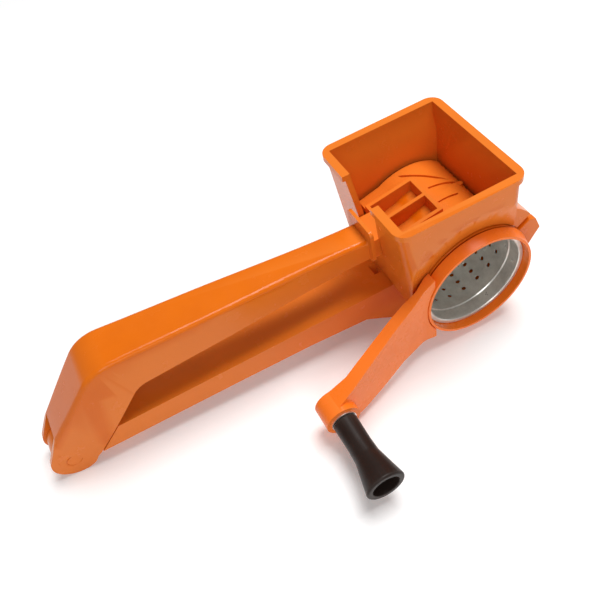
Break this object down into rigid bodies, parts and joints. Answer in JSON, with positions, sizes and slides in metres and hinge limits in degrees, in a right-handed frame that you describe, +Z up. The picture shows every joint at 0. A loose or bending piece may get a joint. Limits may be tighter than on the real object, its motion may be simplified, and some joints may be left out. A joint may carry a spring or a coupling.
{
  "type": "rotary cheese grater",
  "caption": "Hand-cranked rotary cheese grater: square hopper with a hinged press arm over a perforated steel drum, turned by a ring crank with a flared knob.",
  "frame": {"origin": "on the table, in the middle of the foot's plane directly under the drum axis", "axes": "+Z up; Y along the drum axis with the open mouth at -Y; X along the handles with the hopper at +X and the hinge at -X"},
  "size_m": [0.2219, 0.1149, 0.0821],
  "materials": {
    "orange_plastic": "semi-gloss moulded orange plastic",
    "crank_plastic": "semi-gloss moulded orange-red plastic",
    "black_plastic": "worn satin black plastic",
    "drum_steel": "plain rolled sheet steel",
    "steel_washer": "plain steel"
  },
  "bodies": {
    "frame": {"body_frame": "orange_plastic"},
    "arm": {"press_arm": "orange_plastic", "hinge_pin": "orange_plastic"},
    "crank_drum": {"crank": "crank_plastic", "knob_washer": "steel_washer", "knob_pin": "steel_washer", "drum_shell": "drum_steel", "drum_end_cap": "drum_steel", "drum_pivot": "drum_steel"},
    "knob": {"crank_knob": "black_plastic"},
    "lock": {"lock_ring": "orange_plastic"}
  },
  "joints": [
    {"name": "arm_hinge", "type": "hinge", "parent": "frame", "child": "arm", "pos_m": [-0.1795, 0, 0.0093], "axis": [0, -1, 0], "range_deg": [0, 120]},
    {"name": "crank_turn", "type": "hinge", "parent": "frame", "child": "crank_drum", "pos_m": [0, 0, 0.03078], "axis": [0, 1, 0], "continuous": true},
    {"name": "knob_spin", "type": "hinge", "parent": "crank_drum", "child": "knob", "pos_m": [-0.0773, 0, 0.0144], "axis": [0, 1, 0], "continuous": true},
    {"name": "lock_turn", "type": "hinge", "parent": "frame", "child": "lock", "pos_m": [0, 0, 0.03078], "axis": [0, 1, 0], "range_deg": [0, 25]}
  ]
}
